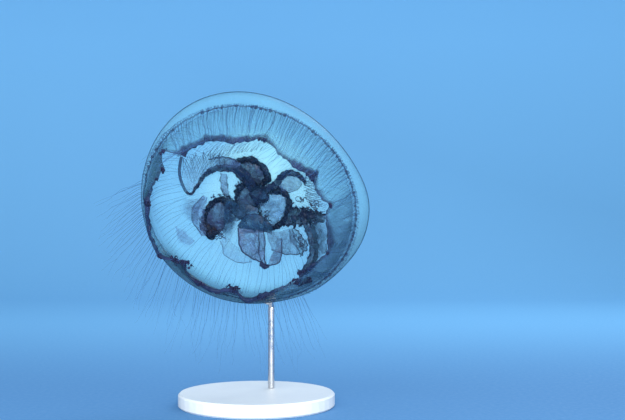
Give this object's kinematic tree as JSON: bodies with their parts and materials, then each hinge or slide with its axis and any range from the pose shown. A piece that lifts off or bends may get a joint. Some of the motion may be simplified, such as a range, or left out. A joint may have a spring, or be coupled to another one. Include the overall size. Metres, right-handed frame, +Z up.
{
  "type": "moon jellyfish model",
  "caption": "Life-size still model of a moon jellyfish mid-stroke: domed bell tilted mouth-forward, scalloped margin with fringe tentacles, gonads and mouth arms, on a round display stand.",
  "frame": {"origin": "centre of the underside of the stand's round base", "axes": "+Z up; the bell's mouth faces -Y and a little down, its crown faces +Y and up, leaning towards +X"},
  "size_m": [0.2307, 0.1854, 0.2741],
  "materials": {
    "bell_jelly": "clear pale-blue resin, satin",
    "margin_flesh": "translucent blue-grey resin with a dark violet edge",
    "sense_organ": "dark violet, matte",
    "stomach_jelly": "translucent blue-grey resin",
    "gonad": "near-black navy with brown, satin",
    "mouth_flesh": "smoky blue translucent resin",
    "stand_base": "pale satin",
    "stand_rod": "brushed"
  },
  "bodies": {
    "root": {"bell_dome": "bell_jelly", "margin_lobe_1": "margin_flesh", "margin_lobe_2": "margin_flesh", "margin_lobe_3": "margin_flesh", "margin_lobe_4": "margin_flesh", "margin_lobe_5": "margin_flesh", "margin_lobe_6": "margin_flesh", "margin_lobe_7": "margin_flesh", "margin_lobe_8": "margin_flesh", "rhopalium_1": "sense_organ", "rhopalium_2": "sense_organ", "rhopalium_3": "sense_organ", "rhopalium_4": "sense_organ", "rhopalium_5": "sense_organ", "rhopalium_6": "sense_organ", "rhopalium_7": "sense_organ", "rhopalium_8": "sense_organ", "stomach": "stomach_jelly", "gonad_upper": "gonad", "gonad_right": "gonad", "gonad_centre": "gonad", "gonad_left": "gonad", "manubrium": "mouth_flesh", "arm_left_root": "mouth_flesh", "arm_left_middle": "mouth_flesh", "arm_left_tip": "mouth_flesh", "arm_upper_root": "mouth_flesh", "arm_upper_middle": "mouth_flesh", "arm_upper_tip": "mouth_flesh", "arm_right_root": "mouth_flesh", "arm_right_middle": "mouth_flesh", "arm_right_tip": "mouth_flesh", "arm_lower_root": "mouth_flesh", "arm_lower_middle": "mouth_flesh", "arm_lower_tip": "mouth_flesh", "stand_base": "stand_base", "stand_rod": "stand_rod"}
  },
  "joints": []
}
